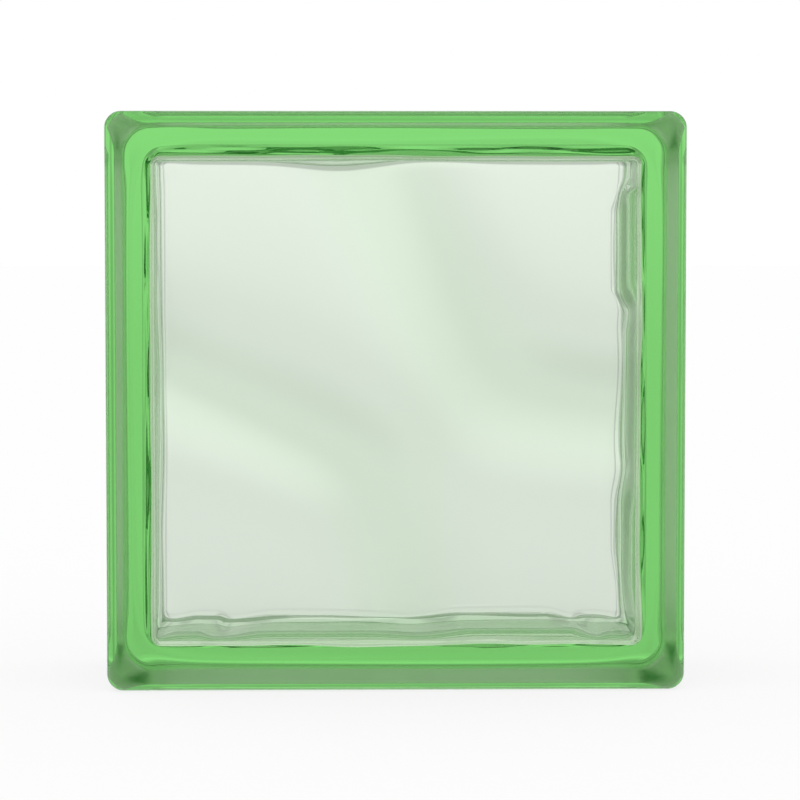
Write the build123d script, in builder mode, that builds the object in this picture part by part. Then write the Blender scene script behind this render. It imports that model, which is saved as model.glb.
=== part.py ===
"""Hollow pressed-glass building block with a soft wave on its two inner faces.

Millimetres. Z is up and the block stands on its lower edge. The front face looks towards -Y and
the origin is the middle of the underside. Two equal half shells, pressed in one mould, are turned
face to face and fused at mid depth, so the finished block is a single piece of glass around a
sealed hollow.
"""
import os
from math import exp, hypot, radians, sqrt, tan

from build123d import *

os.makedirs("parts", exist_ok=True)

# Outside of the block
FACE_SIZE = 190.0
DEPTH = 80.0
FACE_CORNER_RADIUS = 1.0
FACE_EDGE_RADIUS = 4.5
RIM_DEPTH = 21.0
RIM_BACK_RADIUS = 3.0

# Mortar key, the channel that runs round the four sides between the rims
KEY_DEPTH = 4.8
KEY_FLARE = 9.0
KEY_ROOT_RADIUS = 8.0
KEY_CORNER_RADIUS = 9.0

# Hollow of one half shell, widest at the fused seam
SEAM_WALL = 6.2
HOLLOW_DRAFT = 6.2
HOLLOW_CORNER_RADIUS = 3.0
HOLLOW_EDGE_BEVEL = 1.2
FACE_THICKNESS = 5.0

# Wave on the inner face: a soft crest that drops from the top edge, turns at a knee and runs out
# at the right-hand edge; positions are from the middle of the face
CREST_HEIGHT = 4.0
CREST_TOP_X = -8.0
CREST_KNEE_X = 26.0
CREST_KNEE_Z = -1.0
CREST_SIDE_Z = -5.0
CREST_KNEE_ROUND = 9.0
CREST_STEEP_WIDTH = 18.0
CREST_GENTLE_WIDTH = 21.0
WAVE_STEPS = 20
WAVE_DEGREE = 3

# Bead squeezed out along the fused seam, outside and inside
BEAD_RADIUS = 2.5
BEAD_HEIGHT = 1.0

HALF_TURN = 180.0

half_face = FACE_SIZE / 2
half_depth = DEPTH / 2
key_size = FACE_SIZE - 2 * KEY_DEPTH
key_half_width = half_depth - RIM_DEPTH - KEY_FLARE
rim_corner = FACE_CORNER_RADIUS + FACE_EDGE_RADIUS
hollow_size = key_size - 2 * SEAM_WALL
hollow_corner = HOLLOW_CORNER_RADIUS + (half_depth - FACE_THICKNESS) * tan(radians(HOLLOW_DRAFT))
bead_sink = BEAD_RADIUS - BEAD_HEIGHT

seam = Plane.XZ.shift_origin((0, 0, half_face))
face_diagonal = Axis((0, 0, half_face), (1, 0, -1))


def line_distance(u, v, end_u, end_v):
    """Signed distance of a point from the line that runs from the knee to an end of the crest."""
    run_u = end_u - CREST_KNEE_X
    run_v = end_v - CREST_KNEE_Z
    return (run_u * (v - CREST_KNEE_Z) - run_v * (u - CREST_KNEE_X)) / hypot(run_u, run_v)


def wave(u, v):
    """Extra glass on the inner face, u to the right and v up from the middle of the face."""
    drop = -line_distance(u, v, CREST_TOP_X, hollow_size / 2)
    run = line_distance(u, v, hollow_size / 2, CREST_SIDE_Z)
    inside = (drop + run) / 2 - sqrt(((drop - run) / 2) ** 2 + CREST_KNEE_ROUND**2)
    width = CREST_STEEP_WIDTH if inside > 0 else CREST_GENTLE_WIDTH
    return CREST_HEIGHT * exp(-((inside / width) ** 2))


def wave_point(column, row):
    """Point of the inner face on a square grid a little larger than the face."""
    u = hollow_size * (column / WAVE_STEPS - 1 / 2)
    v = hollow_size * (row / WAVE_STEPS - 1 / 2)
    return seam.from_local_coords((u, v, half_depth - FACE_THICKNESS - wave(u, v)))


wave_face = Face.make_surface_from_array_of_points(
    [[wave_point(i, j) for j in range(WAVE_STEPS + 1)] for i in range(WAVE_STEPS + 1)],
    min_deg=WAVE_DEGREE,
)

# Hollow of one half shell: drafted walls, closed by the wave and bevelled where they meet
with BuildPart() as hollow:
    with BuildSketch(seam):
        RectangleRounded(hollow_size, hollow_size, hollow_corner)
    extrude(amount=half_depth)
    draft(hollow.faces().sort_by(Axis.Y)[1:-1], seam, HOLLOW_DRAFT)
    split(bisect_by=wave_face, keep=Keep.BOTTOM)
    chamfer(hollow.faces().sort_by(Axis.Y)[0].edges(), HOLLOW_EDGE_BEVEL)

# One pressed half shell: the key's wall, the flare, the rim, then the hollow. Its edges lie in rings
# along the depth, and the rounded ones are counted from the face or back from the seam.
with BuildPart() as half_shell:
    with BuildSketch(seam):
        RectangleRounded(key_size, key_size, KEY_CORNER_RADIUS)
    extrude(amount=key_half_width)
    with BuildSketch(seam.offset(key_half_width)):
        RectangleRounded(key_size, key_size, KEY_CORNER_RADIUS)
    with BuildSketch(seam.offset(key_half_width + KEY_FLARE)):
        RectangleRounded(FACE_SIZE, FACE_SIZE, rim_corner)
    loft()
    with BuildSketch(seam.offset(key_half_width + KEY_FLARE)):
        RectangleRounded(FACE_SIZE, FACE_SIZE, rim_corner)
    extrude(amount=RIM_DEPTH)
    fillet(half_shell.edges().group_by(Axis.Y)[0], FACE_EDGE_RADIUS)
    fillet(half_shell.edges().group_by(Axis.Y)[-5], RIM_BACK_RADIUS)
    fillet(half_shell.edges().group_by(Axis.Y)[-3], KEY_ROOT_RADIUS)
    add(hollow.part, mode=Mode.SUBTRACT)

# Seam beads: one ring in the key and one round the hollow, each sunk most of the way into the wall
with BuildPart() as seam_beads:
    for run, corner in (
        (key_size / 2 - bead_sink, KEY_CORNER_RADIUS - bead_sink),
        (hollow_size / 2 + bead_sink, hollow_corner + bead_sink),
    ):
        with BuildLine(seam) as seam_line:
            FilletPolyline((-run, -run), (run, -run), (run, run), (-run, run), radius=corner, close=True)
        with BuildSketch(Plane(origin=seam_line.line @ 0, z_dir=seam_line.line % 0)):
            Circle(BEAD_RADIUS)
        sweep(path=seam_line.line)

# Both halves come from one mould: the back one is the front one turned over about a face diagonal
with BuildPart() as glass_block:
    add(half_shell.part)
    add(half_shell.part.rotate(face_diagonal, HALF_TURN))
    add(seam_beads.part)

glass_block.part.label = "glass_block"
export_step(glass_block.part, "parts/glass_block.step")
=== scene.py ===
"""Hollow green glass building block: pressed-glass mesh, tinted glass, studio stage and camera."""
import math
from typing import NamedTuple

import bpy
import numpy as np
from bpy.props import FloatProperty, FloatVectorProperty, IntProperty, PointerProperty
from bpy.types import Operator, Panel, PropertyGroup
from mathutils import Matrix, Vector


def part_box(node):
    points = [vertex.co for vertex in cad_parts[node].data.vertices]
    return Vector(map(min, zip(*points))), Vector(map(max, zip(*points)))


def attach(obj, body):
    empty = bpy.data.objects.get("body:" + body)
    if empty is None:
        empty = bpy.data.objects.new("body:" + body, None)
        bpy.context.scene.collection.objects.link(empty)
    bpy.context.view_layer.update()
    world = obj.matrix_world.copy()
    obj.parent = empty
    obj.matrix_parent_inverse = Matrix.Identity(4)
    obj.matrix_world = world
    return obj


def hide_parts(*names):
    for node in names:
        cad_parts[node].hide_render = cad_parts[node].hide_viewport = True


bl_info = {
    "name": "Glass Block",
    "version": (1, 0, 0),
    "blender": (4, 5, 0),
    "location": "View3D > Sidebar > Glass Block",
    "description": "A hollow pressed-glass building block with a wave inside, on a white studio floor",
    "category": "Add Mesh",
}

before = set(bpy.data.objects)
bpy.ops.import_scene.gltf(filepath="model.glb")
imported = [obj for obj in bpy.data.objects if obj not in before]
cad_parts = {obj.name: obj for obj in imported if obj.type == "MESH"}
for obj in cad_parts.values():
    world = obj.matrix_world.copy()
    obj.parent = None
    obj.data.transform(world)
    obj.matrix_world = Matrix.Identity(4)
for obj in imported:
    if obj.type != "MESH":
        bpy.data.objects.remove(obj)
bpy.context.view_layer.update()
BLOCK_LOW, BLOCK_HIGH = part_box("glass_block")
BLOCK_MIDDLE = (BLOCK_LOW[2] + BLOCK_HIGH[2]) / 2
MM = 0.001
BLOCK_WIDTH = (BLOCK_HIGH[0] - BLOCK_LOW[0]) / MM
BLOCK_DEPTH = (BLOCK_HIGH[1] - BLOCK_LOW[1]) / MM


class Swell(NamedTuple):
    """Low swell of the glass beside one wall of the hollow, in millimetres.

    It runs from start to end along its side, measured from the middle, and fades over a soft stretch at
    each end. Its rise is on the inner face, and fades over its width from the wall.
    """

    side: str
    start: float
    end: float
    soft_start: float
    soft_end: float
    rise: float
    width: float


class Ripple(NamedTuple):
    """Ripple of the hollow's walls: waves round the ring, lean by depth, phase and rise in millimetres."""

    waves: int
    lean: float
    phase: float
    rise: float


class Furrow(NamedTuple):
    """Shallow furrow along the edge of a flat face, in millimetres from the block's outline."""

    place: float
    half_width: float
    depth: float
    swing: float


SWELLS = (
    Swell("right", 34.0, 69.5, 5.0, 1.2, 1.9, 12.0),
    Swell("right", -67.0, -30.0, 9.0, 10.0, 1.3, 11.0),
    Swell("right", -20.0, 24.0, 9.0, 6.0, 0.5, 10.0),
    Swell("below", -76.0, -62.0, 4.0, 3.0, 0.9, 11.0),
    Swell("below", -50.0, 5.0, 8.0, 14.0, 1.1, 11.5),
    Swell("below", 14.0, 62.0, 12.0, 5.0, 1.6, 12.5),
    Swell("below", 68.0, 80.0, 3.0, 4.0, 0.8, 12.0),
    Swell("left", -30.0, 20.0, 18.0, 14.0, 0.4, 8.0),
    Swell("above", -30.0, 10.0, 16.0, 16.0, 0.3, 8.0),
)
# Rise of a swell on the wall for each millimetre on the face, and the most that it narrows the hollow there
WALL_SHARE = 1.5
SWELL_LIMIT = 2.4

RIPPLES = (
    Ripple(7, 0.16, 0.4, 0.30),
    Ripple(13, -0.21, 2.1, 0.20),
    Ripple(23, 0.33, 4.4, 0.12),
    Ripple(5, 0.42, 1.3, 0.14),
)
# Share of the ripples that is left on the quiet sides, above and at the left, and how they fade into it
QUIET_SHARE = 0.40
QUIET_FADE = (-0.1, 0.6)
# Width of the calm stretch beside the bead, where ripples and swells die out, in half widths of the bead
CALM_WIDTH = 9.0

FURROWS = (
    Furrow(4.2, 1.4, 0.04, 0.4),
    Furrow(8.8, 2.8, 0.20, 0.6),
    Furrow(12.8, 1.3, 0.03, 0.3),
)
FURROW_SWINGS = 3.0
# Power that makes the furrows follow a square with soft corners
SQUARENESS = 10

# Mesh steps of each side that go into its two half corners
CORNER_STEPS = 12
# Crowding of a face's grid at its border, and the grid's corner radius as a share of the inner edge's
GRID_CROWDING = 1.5
GRID_CORNER = 0.2
# Points on each rounded edge of the section
FACE_EDGE_POINTS = 17
RIM_BACK_POINTS = 8
KEY_ROOT_POINTS = 9
BEAD_POINTS = 8
INNER_EDGE_POINTS = 12
# Rings between them, as shares of the way
LAND_RINGS = (0.33, 0.67)
KEY_RINGS = (0.2, 0.4, 0.6, 0.8, 0.95, 1.0)
WALL_RINGS = (0.15, 0.3, 0.45, 0.6, 0.75, 0.9, 1.0)
# Rounds in which the hollow's edge is fitted to the wave
FIT_ROUNDS = 4

# Stretches over which the surround fades: by height of the direction, where 0 is the horizon and 1 is
# overhead, by its way to the back, where -1 is straight in front, and by the cosine across a panel
HORIZON_FADE = (-0.07, 0.03)
FLOOR_FADE = (-0.175, -0.10)
FLOOR_RISE = (-0.45, -0.20)
CEILING_FADE = (0.03, 0.25)
FRONT_FADE = (-0.8, -0.2)
PANEL_FADE = (0.45, 0.84)

WHITE = (1.0, 1.0, 1.0)
PAPER = (0.95, 0.95, 0.95)


def length(name, description, default_mm):
    """A length of the block, given in millimetres and shown in the scene's units."""
    return FloatProperty(
        name=name, description=description, default=default_mm * MM, min=0.0, unit="LENGTH", precision=4
    )


def place(name, description, default_mm):
    """A place on the block, which can lie on either side of zero."""
    return FloatProperty(
        name=name, description=description, default=default_mm * MM, unit="LENGTH", precision=4
    )


def angle(name, description, default_degrees):
    """An angle, given in degrees."""
    return FloatProperty(
        name=name, description=description, default=math.radians(default_degrees), subtype="ANGLE"
    )


def level(name, description, default):
    """A level of light or a share of one, where 1 is white."""
    return FloatProperty(name=name, description=description, default=default, min=0.0)


def factor(name, description, default):
    """A share from 0 to 1."""
    return FloatProperty(
        name=name, description=description, default=default, min=0.0, max=1.0, subtype="FACTOR"
    )


def colour(name, description, default):
    """A colour of the glass."""
    return FloatVectorProperty(
        name=name, description=description, default=default, min=0.0, max=1.0, subtype="COLOR"
    )


class BlockSizes(PropertyGroup):
    """Sizes of the block outside its hollow."""

    face_size: length("Face size", "Width and height over the rims", BLOCK_WIDTH)
    depth: length("Depth", "Front face to back face", BLOCK_DEPTH)
    face_corner: length("Face corner", "Corner radius of the flat face", 1.0)
    face_edge: length("Face edge radius", "Radius of the rolled edge round each face", 4.5)
    rim_depth: length("Rim depth", "Depth of each rim from its face", 21.0)
    rim_back: length("Rim back radius", "Radius where the rim turns into the key", 3.0)
    key_depth: length("Key depth", "Depth of the mortar key below the rims", 4.8)
    key_flare: length("Key flare", "Run of the slope from rim to key", 9.0)
    key_root: length("Key root radius", "Radius at the foot of the slope", 8.0)
    key_corner: length("Key corner", "Corner radius of the key", 9.0)
    bead_radius: length("Bead radius", "Radius of the fused seam's bead", 2.5)
    bead_height: length("Bead height", "How far the bead stands out of the wall", 1.0)
    mesh_steps: IntProperty(
        name="Mesh steps", description="Steps of the mesh along each side of a face", default=96, min=16
    )


class HollowSizes(PropertyGroup):
    """Sizes of the sealed hollow and of the wave on its faces."""

    seam_wall: length("Seam wall", "Wall thickness at the fused seam", 6.2)
    draft: angle("Draft", "Slope of the hollow's walls", 6.2)
    edge_radius: length("Inner edge radius", "Radius between wall and inner face", 2.0)
    corner: length("Hollow corner", "Corner radius at the inner face, wider towards the seam", 3.0)
    face_thickness: length("Face thickness", "Glass at the thinnest place of a face", 5.0)
    crest_height: length("Crest height", "Extra glass along the wave's crest", 4.0)
    crest_top_x: place("Crest top", "Where the crest meets the top edge, from the middle", -8.0)
    crest_knee_x: place("Knee across", "Knee of the crest, to the right of the middle", 26.0)
    crest_knee_z: place("Knee up", "Knee of the crest, above the middle", -1.0)
    crest_side_z: place("Crest side", "Where the crest meets the right edge, above the middle", -5.0)
    crest_round: length("Knee rounding", "Softness of the crest's knee", 9.0)
    crest_steep: length("Steep width", "Width of the crest's steep flank", 18.0)
    crest_gentle: length("Gentle width", "Width of the crest's gentle flank", 21.0)


class GlassLook(PropertyGroup):
    """Look of the glass."""

    tint: colour("Tint", "Colour the glass takes where it is deep", (0.395, 0.86, 0.30))
    tint_density: FloatProperty(
        name="Tint density", description="How fast the tint deepens, for each metre", default=31.0, min=0.0
    )
    side_roughness: factor("Side roughness", "Roughness of the sides that are bedded in mortar", 0.35)
    side_tint: colour("Side tint", "Tint of the rough sides", (0.78, 1.0, 0.66))
    skin: colour("Skin", "Faint tint of the hollow's skin, which keeps the faces pale", (1.0, 0.955, 1.0))
    ior: FloatProperty(name="IOR", description="Refractive index of the glass", default=1.52, min=1.0)


class StageLook(PropertyGroup):
    """Floor, surround and camera."""

    floor_size: length("Floor size", "Side of the floor", 12000.0)
    floor_lift: factor("Floor lift", "Share of plain white in the floor that the lens sees", 0.80)
    glass_level: level("Level through glass", "Level of the studio seen in the glass", 1.045)
    floor_level: level("Floor level", "Level below the horizon, seen through glass", 0.86)
    floor_fade: level("Floor fade", "Share of that level left far below the horizon", 0.88)
    floor_near: level("Floor near", "Rise of the floor's level close to the block", 1.10)
    ceiling_level: level("Ceiling level", "Level high above the horizon, seen through glass", 0.62)
    front_level: level("Front level", "Share of light in front of the block, mirrored by its face", 0.75)
    panel_count: IntProperty(name="Panels", description="Tall soft panels round the block", default=5, min=1)
    panel_gap: level("Panel gap", "Level between two panels", 0.78)
    panel_turn: angle("Panel turn", "Middle of the panel behind the block, to the right", 1.1)
    panel_half: angle("Panel half width", "Half width of that panel's even part", 4.2)
    panel_soft: angle("Panel softness", "Width of the fade at its sides", 4.0)
    panel_edge: level("Panel edge", "Level beside that even part", 0.84)
    strip_turn: angle("Strip turn", "Turn of the two strip panels from straight behind", 24.0)
    strip_half: angle("Strip half width", "Half width of a strip panel's even part", 8.0)
    strip_soft: angle("Strip softness", "Width of the fade at its sides", 6.0)
    strip_level: level("Strip level", "Level of the two strip panels", 1.16)
    camera_distance: length("Camera distance", "Camera to the middle of the block", 1100.0)
    camera_height: angle("Camera height", "Angle of the camera above the block", 3.6)
    camera_side: angle("Camera side", "Angle of the camera to the left of the block", 1.15)
    aim_right: place("Aim right", "Point aimed at on the front face, to the right of its middle", 1.2)
    aim_up: place("Aim up", "Point aimed at on the front face, above its middle", 0.9)
    lens: FloatProperty(name="Lens", description="Focal length", default=146.2, min=1.0, unit="CAMERA")


def side_of_square(half, corner, along_side, straight):
    """Lower side of a rounded square, from -1 to 1 along it with half a corner at each end."""
    along = np.clip(along_side, -straight, straight) / straight * (half - corner)
    turn = np.maximum(np.abs(along_side) - straight, 0.0) / (1.0 - straight) * (math.pi / 4)
    across = along + np.sign(along_side) * corner * np.sin(turn)
    out = (half - corner) + corner * np.cos(turn)
    return across, -out


def turn_quarters(x, y, quarters):
    """Turns points by whole quarter turns."""
    quarters = np.asarray(quarters) % 4
    cos = np.choose(quarters, [1, 0, -1, 0])
    sin = np.choose(quarters, [0, 1, 0, -1])
    return x * cos - y * sin, x * sin + y * cos


def smooth_step(value, low, high):
    """0 below low, 1 above high and a smooth rise between."""
    t = np.clip((value - low) / (high - low), 0.0, 1.0)
    return t * t * (3.0 - 2.0 * t)


class ShellMesh:
    """Vertices and quads of one closed shell made of rings and two end faces.

    Points are (u, v, w) with u to the right, v up from the middle of the block and w towards the front. Each
    point has a zone mark for the material: 1 on the rough sides, -1 in the hollow and 0 elsewhere.
    """

    def __init__(self, steps, inward):
        self.steps = steps
        self.straight = 1.0 - CORNER_STEPS / steps
        self.inward = inward
        self.points = []
        self.marks = []
        self.quads = []
        self.count = 0
        around = np.arange(4 * steps)
        self.quarter = around // steps
        self.along_side = -1.0 + 2.0 * (around % steps) / steps

    def outline(self, half, corner):
        """Ring of points for a half size and a corner radius, each a number or one value for each point."""
        x, y = side_of_square(half, corner, self.along_side, self.straight)
        return turn_quarters(x, y, self.quarter)

    def add_points(self, u, v, w, mark=0.0):
        """Adds points and returns their numbers."""
        first = self.count
        self.points.append(np.column_stack([u, v, w]))
        self.marks.append(np.full(len(u), -1.0 if self.inward else mark))
        self.count += len(u)
        return np.arange(first, self.count)

    def add_quads(self, a, b, c, d):
        """Adds quads that look out of the glass."""
        quads = np.column_stack([a, b, c, d])
        self.quads.append(quads[:, ::-1] if self.inward else quads)

    def join(self, upper, lower):
        """Quads between two rings, the first one nearer the front face."""
        self.add_quads(upper, lower, np.roll(lower, -1), np.roll(upper, -1))

    def face(self, half, corner, height, front):
        """End face as a grid inside a rounded square. Returns the ring of its border points."""
        steps = self.steps
        i, j = np.meshgrid(np.arange(steps + 1), np.arange(steps + 1), indexing="ij")
        a = (2.0 * i / steps - 1.0).ravel()
        b = (2.0 * j / steps - 1.0).ravel()
        size = np.maximum(np.abs(a), np.abs(b))
        safe = np.where(size > 0, size, 1.0)
        quarter = np.where(np.abs(b) >= np.abs(a), np.where(b <= 0, 0, 2), np.where(a > 0, 1, 3))
        along_side = np.choose(quarter, [a, b, -a, -b]) / safe
        x, y = side_of_square(half, corner, along_side, self.straight)
        spread = 1.0 - (1.0 - size) ** GRID_CROWDING
        u, v = turn_quarters(x * spread, y * spread, quarter)
        ids = self.add_points(u, v, height(u, v)).reshape(steps + 1, steps + 1)
        quad = [corner_ids.ravel() for corner_ids in (ids[:-1, :-1], ids[1:, :-1], ids[1:, 1:], ids[:-1, 1:])]
        self.add_quads(*(quad if front else quad[::-1]))
        return np.concatenate([ids[:-1, 0], ids[-1, :-1], ids[:0:-1, -1], ids[0, :0:-1]])


def arc(centre_x, centre_y, radius, start, end, count):
    """Points on an arc, angles from the x axis in radians."""
    angles = np.linspace(start, end, count)
    return [(centre_x + radius * math.cos(t), centre_y + radius * math.sin(t)) for t in angles]


def bead_section(sizes):
    """How deep the bead's middle lies in the wall, and half the width of the part that stands out."""
    sink = sizes.bead_radius - sizes.bead_height
    return sink, math.sqrt(sizes.bead_radius**2 - sink**2)


def outer_profile(sizes):
    """Half section of the outside from the face edge to the seam, as (half size, depth from the seam)."""
    half = sizes.face_size / 2
    front = sizes.depth / 2
    key = half - sizes.key_depth
    rim = front - sizes.rim_depth
    key_edge = rim - sizes.key_flare
    slope = math.atan2(sizes.key_depth, sizes.key_flare)
    edge = sizes.face_edge
    points = arc(half - edge, front - edge, edge, math.pi / 2, 0.0, FACE_EDGE_POINTS)
    land_start = front - edge
    land_end = rim + sizes.rim_back * math.tan(slope / 2)
    points += [(half, land_start + (land_end - land_start) * t) for t in LAND_RINGS]
    points += arc(half - sizes.rim_back, land_end, sizes.rim_back, 0.0, -slope, RIM_BACK_POINTS)
    wall_start = key_edge - sizes.key_root * math.tan(slope / 2)
    points += arc(key + sizes.key_root, wall_start, sizes.key_root, math.pi - slope, math.pi, KEY_ROOT_POINTS)
    sink, wall_end = bead_section(sizes)
    points += [(key, wall_start + (wall_end - wall_start) * t) for t in KEY_RINGS]
    bead_start = math.asin(wall_end / sizes.bead_radius)
    points += arc(key - sink, 0.0, sizes.bead_radius, bead_start, 0.0, BEAD_POINTS)[1:]
    return points


def furrows(u, v, half):
    """Depth of the shallow furrows along the edges of a flat face, left where the glass shrank."""
    out = (np.abs(u) ** SQUARENESS + np.abs(v) ** SQUARENESS) ** (1.0 / SQUARENESS)
    around = np.arctan2(v, u)
    total = np.zeros_like(u)
    for furrow in FURROWS:
        middle = half - (furrow.place + furrow.swing * np.sin(FURROW_SWINGS * around + furrow.place)) * MM
        total += furrow.depth * MM * np.exp(-(((out - middle) / (furrow.half_width * MM)) ** 2))
    return total


def outer_shell(sizes):
    """Outside of the block."""
    shell = ShellMesh(sizes.mesh_steps, inward=False)
    half = sizes.face_size / 2
    front = sizes.depth / 2
    flat = half - sizes.face_edge
    rim_corner = sizes.face_corner + sizes.face_edge

    def corner_at(size, depth):
        if depth >= front - sizes.rim_depth:
            return rim_corner - (half - size)
        share = (half - size) / sizes.key_depth
        return rim_corner + (sizes.key_corner - rim_corner) * share

    profile = outer_profile(sizes)
    ring = shell.face(flat, sizes.face_corner, lambda u, v: front - furrows(u, v, half), front=True)
    for size, depth in profile[1:] + [(size, -depth) for size, depth in profile[-2:0:-1]]:
        u, v = shell.outline(size, corner_at(size, abs(depth)))
        mark = 1.0 if abs(depth) < front - sizes.face_edge else 0.0
        lower = shell.add_points(u, v, np.full_like(u, depth), mark)
        shell.join(ring, lower)
        ring = lower
    back = shell.face(flat, sizes.face_corner, lambda u, v: furrows(u, v, half) - front, front=False)
    shell.join(ring, back)
    return shell


def crest_line(u, v, hollow, end_u, end_v):
    """Signed distance from the line between the crest's knee and one of its ends."""
    run_u = end_u - hollow.crest_knee_x
    run_v = end_v - hollow.crest_knee_z
    cross = run_u * (v - hollow.crest_knee_z) - run_v * (u - hollow.crest_knee_x)
    return cross / math.hypot(run_u, run_v)


def wave(u, v, hollow, reach):
    """Extra glass of the wave at a place on the inner face."""
    drop = -crest_line(u, v, hollow, hollow.crest_top_x, reach)
    run = crest_line(u, v, hollow, reach, hollow.crest_side_z)
    inside = (drop + run) / 2 - np.sqrt(((drop - run) / 2) ** 2 + hollow.crest_round**2)
    width = np.where(inside > 0, hollow.crest_steep, hollow.crest_gentle)
    return hollow.crest_height * np.exp(-((inside / width) ** 2))


def swells(u, v, reach):
    """Low swells of the inner face along its walls, where the glass set unevenly."""
    sides = {"right": (v, u), "below": (u, -v), "left": (v, -u), "above": (u, v)}
    total = np.zeros_like(u)
    for swell in SWELLS:
        along, out = sides[swell.side]
        near = smooth_step(out, reach - swell.width * MM, reach)
        begun = smooth_step(
            along, (swell.start - swell.soft_start) * MM, (swell.start + swell.soft_start) * MM
        )
        ended = smooth_step(along, (swell.end - swell.soft_end) * MM, (swell.end + swell.soft_end) * MM)
        total += swell.rise * MM * near * begun * (1.0 - ended)
    return total


def wall_swell(u, v, reach):
    """The same swells on the walls themselves, for points on their outline."""
    return np.minimum(WALL_SHARE * swells(u, v, reach), SWELL_LIMIT * MM)


def wall_ripple(around, depth):
    """Uneven set of the hollow's walls, by place round the ring in turns and depth from the seam."""
    turn = 2.0 * math.pi * around
    share = QUIET_SHARE + (1.0 - QUIET_SHARE) * smooth_step(np.sin(turn), *QUIET_FADE)
    total = np.zeros_like(turn)
    for ripple in RIPPLES:
        total += ripple.rise * MM * np.sin(ripple.waves * turn + ripple.lean * depth / MM + ripple.phase)
    return total * share


def inner_shell(sizes, hollow):
    """Wall of the sealed hollow."""
    shell = ShellMesh(sizes.mesh_steps, inward=True)
    ring_size = 4 * sizes.mesh_steps
    around = np.arange(ring_size) / ring_size
    front = sizes.depth / 2
    inner_front = front - hollow.face_thickness
    reach = sizes.face_size / 2 - sizes.key_depth - hollow.seam_wall
    slope = math.tan(hollow.draft)
    radius = hollow.edge_radius
    edge = radius / math.cos(hollow.draft)
    sink, bead_edge = bead_section(sizes)

    def front_face(u, v):
        return inner_front - wave(u, v, hollow, reach) - swells(u, v, reach)

    def back_face(u, v):
        return wave(-v, -u, hollow, reach) - inner_front

    def wall_corner(depth):
        return hollow.corner + (inner_front - depth) * slope

    def half_rings(surface, side, swell):
        """Rings from an inner face's border to the bead, as inset, corner radius and depth from the seam.

        Side is 1 for the front half and -1 for the back one.
        """
        deep = np.full(ring_size, inner_front)
        for _ in range(FIT_ROUNDS):
            inset = (deep - radius) * slope + edge
            u, v = shell.outline(reach - inset, wall_corner(deep) - radius)
            deep = side * surface(u, v)
        rings = []
        for t in np.linspace(0.0, math.pi / 2 - hollow.draft, INNER_EDGE_POINTS):
            corner = wall_corner(deep) - radius * (1.0 - math.sin(t))
            depth = deep - radius + radius * math.cos(t)
            ripple = wall_ripple(around, side * depth) * math.sin(t) ** 2 + swell
            rings.append((inset - radius * math.sin(t) + ripple, corner, depth))
        edge_depth = rings[-1][2]
        for t in WALL_RINGS:
            depth = edge_depth + (bead_edge - edge_depth) * t
            calm = smooth_step(depth, bead_edge, CALM_WIDTH * bead_edge)
            ripple = (wall_ripple(around, side * depth) + swell) * calm
            rings.append((depth * slope + ripple, wall_corner(depth), depth))
        bead_start = math.asin(bead_edge / sizes.bead_radius)
        for t in np.linspace(bead_start, 0.0, BEAD_POINTS)[1:]:
            rise = sizes.bead_radius * math.cos(t) - sink
            depth = np.full(ring_size, sizes.bead_radius * math.sin(t))
            rings.append((np.full(ring_size, rise), wall_corner(depth) - rise, depth))
        return rings

    grid_corner = GRID_CORNER * radius
    grid_half = reach - (inner_front * slope + edge + SWELL_LIMIT * MM + grid_corner)
    ring = shell.face(grid_half, grid_corner, front_face, front=True)
    front_rings = half_rings(front_face, 1.0, 0.0)
    back_swell = wall_swell(*shell.outline(reach, hollow.corner), reach)
    back_rings = half_rings(back_face, -1.0, back_swell)
    for inset, corner, depth in front_rings + [(i, c, -d) for i, c, d in back_rings[-2::-1]]:
        u, v = shell.outline(reach - inset, corner)
        lower = shell.add_points(u, v, depth)
        shell.join(ring, lower)
        ring = lower
    back = shell.face(grid_half, grid_corner, back_face, front=False)
    shell.join(ring, back)
    return shell


def block_mesh(sizes, hollow):
    """The block as one mesh: its outside and the wall of its hollow."""
    points, marks, quads, first = [], [], [], 0
    for shell in (outer_shell(sizes), inner_shell(sizes, hollow)):
        points.append(np.concatenate(shell.points))
        marks.append(np.concatenate(shell.marks))
        quads.append(np.concatenate(shell.quads) + first)
        first += shell.count
    u, v, w = np.concatenate(points).T
    mesh = bpy.data.meshes.new("glass_block_visual")
    mesh.from_pydata(np.column_stack([u, -w, v + BLOCK_MIDDLE]).tolist(), [], np.concatenate(quads).tolist())
    mesh.validate()
    zone = mesh.attributes.new("zone", "FLOAT", "POINT")
    zone.data.foreach_set("value", np.concatenate(marks).astype(np.float32))
    mesh.shade_smooth()
    mesh.update()
    return mesh


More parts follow.
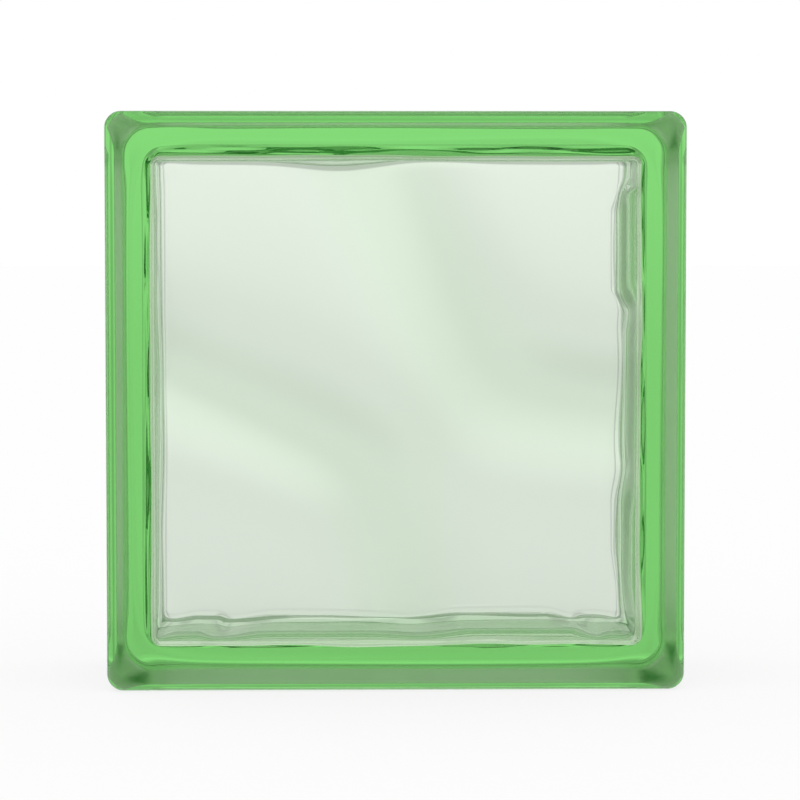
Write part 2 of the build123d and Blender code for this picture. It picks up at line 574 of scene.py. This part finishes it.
class Nodes:
    """Cleared node tree of a material or a world, with short calls for the nodes that are used here."""

    def __init__(self, owner):
        owner.use_nodes = True
        self.tree = owner.node_tree
        self.tree.nodes.clear()

    def feed(self, socket, value):
        """Links an input to an output, or sets its value."""
        if isinstance(value, bpy.types.NodeSocket):
            self.tree.links.new(value, socket)
        else:
            socket.default_value = value

    def add(self, kind, inputs=None, **settings):
        """New node with its settings, and with values or outputs for its inputs by name or number."""
        node = self.tree.nodes.new(kind)
        for name, value in settings.items():
            setattr(node, name, value)
        for key, value in (inputs or {}).items():
            self.feed(node.inputs[key], value)
        return node

    def math(self, operation, *values):
        """Math node. Returns its output."""
        return self.add("ShaderNodeMath", dict(enumerate(values)), operation=operation).outputs[0]

    def fade(self, value, stretch, at_low, at_high):
        """Smooth step between two levels over a stretch of a value. Returns its output."""
        low, high = stretch
        ends = {"From Min": low, "From Max": high, "To Min": at_low, "To Max": at_high}
        node = self.add("ShaderNodeMapRange", {"Value": value, **ends}, interpolation_type="SMOOTHSTEP")
        return node.outputs["Result"]

    def mix_colours(self, share, first, second):
        """Mix of two colours. Returns its output."""
        node = self.add("ShaderNodeMix", {"Factor": share, 6: first, 7: second}, data_type="RGBA")
        return node.outputs[2]

    def mix_shaders(self, share, first, second):
        """Mix of two shaders. Returns its output."""
        return self.add("ShaderNodeMixShader", {"Fac": share, 1: first, 2: second}).outputs["Shader"]

    def bent_rays(self, path):
        """A value of 1 for rays that the glass has bent or mirrored."""
        return self.math("MAXIMUM", path.outputs["Is Glossy Ray"], path.outputs["Is Transmission Ray"])


def glass_material(look):
    """Clear pressed glass with a green tint through its depth, rough on the sides."""
    material = bpy.data.materials.new("green_glass")
    nodes = Nodes(material)
    zone = nodes.add("ShaderNodeAttribute", attribute_name="zone").outputs["Fac"]
    sides = nodes.math("MAXIMUM", zone, 0.0)
    hollow = nodes.math("MAXIMUM", nodes.math("MULTIPLY", zone, -1.0), 0.0)
    side_tint = nodes.mix_colours(sides, (*WHITE, 1.0), (*look.side_tint, 1.0))
    glass = nodes.add("ShaderNodeBsdfPrincipled", {
        "Base Color": nodes.mix_colours(hollow, side_tint, (*look.skin, 1.0)),
        "Roughness": nodes.math("MULTIPLY", sides, look.side_roughness),
        "IOR": look.ior,
        "Transmission Weight": 1.0,
    })
    depth = nodes.add("ShaderNodeVolumeAbsorption", {
        "Color": (*look.tint, 1.0),
        "Density": look.tint_density,
    })
    nodes.add("ShaderNodeOutputMaterial", {
        "Surface": glass.outputs["BSDF"],
        "Volume": depth.outputs["Volume"],
    })
    return material


def floor_material(look):
    """Pale studio floor, white to the lens, with the block's shadow; the glass shows the surround instead."""
    material = bpy.data.materials.new("studio_floor")
    nodes = Nodes(material)
    path = nodes.add("ShaderNodeLightPath")
    paper = nodes.add("ShaderNodeBsdfDiffuse", {"Color": (*PAPER, 1.0)})
    white = nodes.add("ShaderNodeEmission")
    clear = nodes.add("ShaderNodeBsdfTransparent")
    lift = nodes.math("MULTIPLY", path.outputs["Is Camera Ray"], look.floor_lift)
    lifted = nodes.mix_shaders(lift, paper.outputs["BSDF"], white.outputs["Emission"])
    seen = nodes.mix_shaders(nodes.bent_rays(path), lifted, clear.outputs["BSDF"])
    nodes.add("ShaderNodeOutputMaterial", {"Surface": seen})
    return material


def panel_level(nodes, look, right, behind):
    """Level of the ring of tall soft panels, by how far a direction points to the right and to the back."""
    turn = nodes.math("ARCTAN2", right, behind)
    swing = nodes.math("COSINE", nodes.math("MULTIPLY", turn, float(look.panel_count)))
    ring = nodes.fade(swing, PANEL_FADE, look.panel_gap, 1.0)
    apart = nodes.math("ABSOLUTE", nodes.math("SUBTRACT", nodes.math("ABSOLUTE", turn), look.strip_turn))
    strip_sides = (look.strip_half, look.strip_half + look.strip_soft)
    strips = nodes.fade(apart, strip_sides, look.strip_level, 0.0)
    front = nodes.fade(behind, FRONT_FADE, look.front_level, 1.0)
    aside = nodes.math("ABSOLUTE", nodes.math("SUBTRACT", turn, look.panel_turn))
    panel_sides = (look.panel_half, look.panel_half + look.panel_soft)
    edge = nodes.fade(aside, panel_sides, 1.0, look.panel_edge)
    ring_and_strips = nodes.math("MULTIPLY", nodes.math("MAXIMUM", ring, strips), front)
    return nodes.math("MULTIPLY", ring_and_strips, edge)


def height_level(nodes, look, height):
    """Level of the surround by how far a direction points up: floor, horizon and ceiling."""
    rise = nodes.fade(height, HORIZON_FADE, look.floor_level, 1.0)
    far = nodes.fade(height, FLOOR_FADE, look.floor_fade, 1.0)
    near = nodes.fade(height, FLOOR_RISE, look.floor_near, 1.0)
    fall = nodes.fade(height, CEILING_FADE, 1.0, look.ceiling_level)
    floor = nodes.math("MULTIPLY", rise, nodes.math("MULTIPLY", far, near))
    return nodes.math("MULTIPLY", floor, fall)


def studio_world(look):
    """Plain white surround; mirrored or through glass it shows the ring of soft panels."""
    world = bpy.data.worlds.new("studio")
    nodes = Nodes(world)
    direction = nodes.add("ShaderNodeTexCoord").outputs["Generated"]
    right, behind, height = nodes.add("ShaderNodeSeparateXYZ", {0: direction}).outputs
    glow = nodes.math("MULTIPLY", panel_level(nodes, look, right, behind), height_level(nodes, look, height))
    in_glass = nodes.math("MULTIPLY", glow, look.glass_level)
    bent = nodes.bent_rays(nodes.add("ShaderNodeLightPath"))
    seen = nodes.add("ShaderNodeMix", {"Factor": bent, "A": 1.0, "B": in_glass}).outputs["Result"]
    surround = nodes.add("ShaderNodeBackground", {"Color": (*WHITE, 1.0), "Strength": seen})
    nodes.add("ShaderNodeOutputWorld", {"Surface": surround.outputs["Background"]})
    return world


def studio_floor(look):
    """Square floor under the block."""
    side = look.floor_size / 2
    corners = [(-side, -side, 0.0), (side, -side, 0.0), (side, side, 0.0), (-side, side, 0.0)]
    mesh = bpy.data.meshes.new("floor")
    mesh.from_pydata(corners, [], [(0, 1, 2, 3)])
    mesh.materials.append(floor_material(look))
    return bpy.data.objects.new("floor", mesh)


def studio_camera(look):
    """Camera in front of the block, a little above and to the left of its middle."""
    lens = bpy.data.cameras.new("camera")
    lens.lens = look.lens
    camera = bpy.data.objects.new("camera", lens)
    away = Vector((
        -math.sin(look.camera_side) * math.cos(look.camera_height),
        -math.cos(look.camera_side) * math.cos(look.camera_height),
        math.sin(look.camera_height),
    ))
    camera.location = Vector((0.0, 0.0, BLOCK_MIDDLE)) + away * look.camera_distance
    aim = Vector((look.aim_right, BLOCK_LOW[1], BLOCK_MIDDLE + look.aim_up))
    camera.rotation_euler = (aim - camera.location).to_track_quat("-Z", "Y").to_euler()
    return camera


class MESH_OT_glass_block_add(Operator):
    """Make the glass block with its hollow and wave"""

    bl_idname = "mesh.glass_block_add"
    bl_label = "Glass Block"

    def execute(self, context):
        scene = context.scene
        mesh = block_mesh(scene.block_sizes, scene.hollow_sizes)
        mesh.materials.append(glass_material(scene.glass_look))
        block = bpy.data.objects.new("glass_block_visual", mesh)
        scene.collection.objects.link(block)
        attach(block, "root")
        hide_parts("glass_block")
        return {"FINISHED"}


class SCENE_OT_glass_block_stage(Operator):
    """Set up the floor, the light and the camera"""

    bl_idname = "scene.glass_block_stage"
    bl_label = "Studio Stage"

    def execute(self, context):
        scene = context.scene
        floor = studio_floor(scene.stage_look)
        scene.collection.objects.link(floor)
        scene.world = studio_world(scene.stage_look)
        camera = studio_camera(scene.stage_look)
        scene.collection.objects.link(camera)
        scene.camera = camera
        scene.view_settings.view_transform = "Standard"
        scene.cycles.max_bounces = 24
        scene.cycles.transmission_bounces = 24
        scene.cycles.glossy_bounces = 16
        return {"FINISHED"}


class VIEW3D_PT_glass_block(Panel):
    """Glass block tools"""

    bl_label = "Glass Block"
    bl_idname = "VIEW3D_PT_glass_block"
    bl_space_type = "VIEW_3D"
    bl_region_type = "UI"
    bl_category = "Glass Block"

    def draw(self, context):
        scene = context.scene
        self.layout.operator(MESH_OT_glass_block_add.bl_idname)
        self.layout.operator(SCENE_OT_glass_block_stage.bl_idname)
        for group in (scene.block_sizes, scene.hollow_sizes, scene.glass_look, scene.stage_look):
            box = self.layout.box()
            for name in group.bl_rna.properties.keys():
                if name not in ("rna_type", "name"):
                    box.prop(group, name)


CLASSES = (
    BlockSizes,
    HollowSizes,
    GlassLook,
    StageLook,
    MESH_OT_glass_block_add,
    SCENE_OT_glass_block_stage,
    VIEW3D_PT_glass_block,
)


def register():
    """Adds the classes and their settings."""
    for cls in CLASSES:
        bpy.utils.register_class(cls)
    bpy.types.Scene.block_sizes = PointerProperty(type=BlockSizes)
    bpy.types.Scene.hollow_sizes = PointerProperty(type=HollowSizes)
    bpy.types.Scene.glass_look = PointerProperty(type=GlassLook)
    bpy.types.Scene.stage_look = PointerProperty(type=StageLook)


def unregister():
    """Removes the classes and their settings."""
    del bpy.types.Scene.stage_look
    del bpy.types.Scene.glass_look
    del bpy.types.Scene.hollow_sizes
    del bpy.types.Scene.block_sizes
    for cls in reversed(CLASSES):
        bpy.utils.unregister_class(cls)


def main():
    """Builds the block and its stage."""
    register()
    bpy.ops.mesh.glass_block_add()
    bpy.ops.scene.glass_block_stage()


if __name__ == "__main__":
    main()
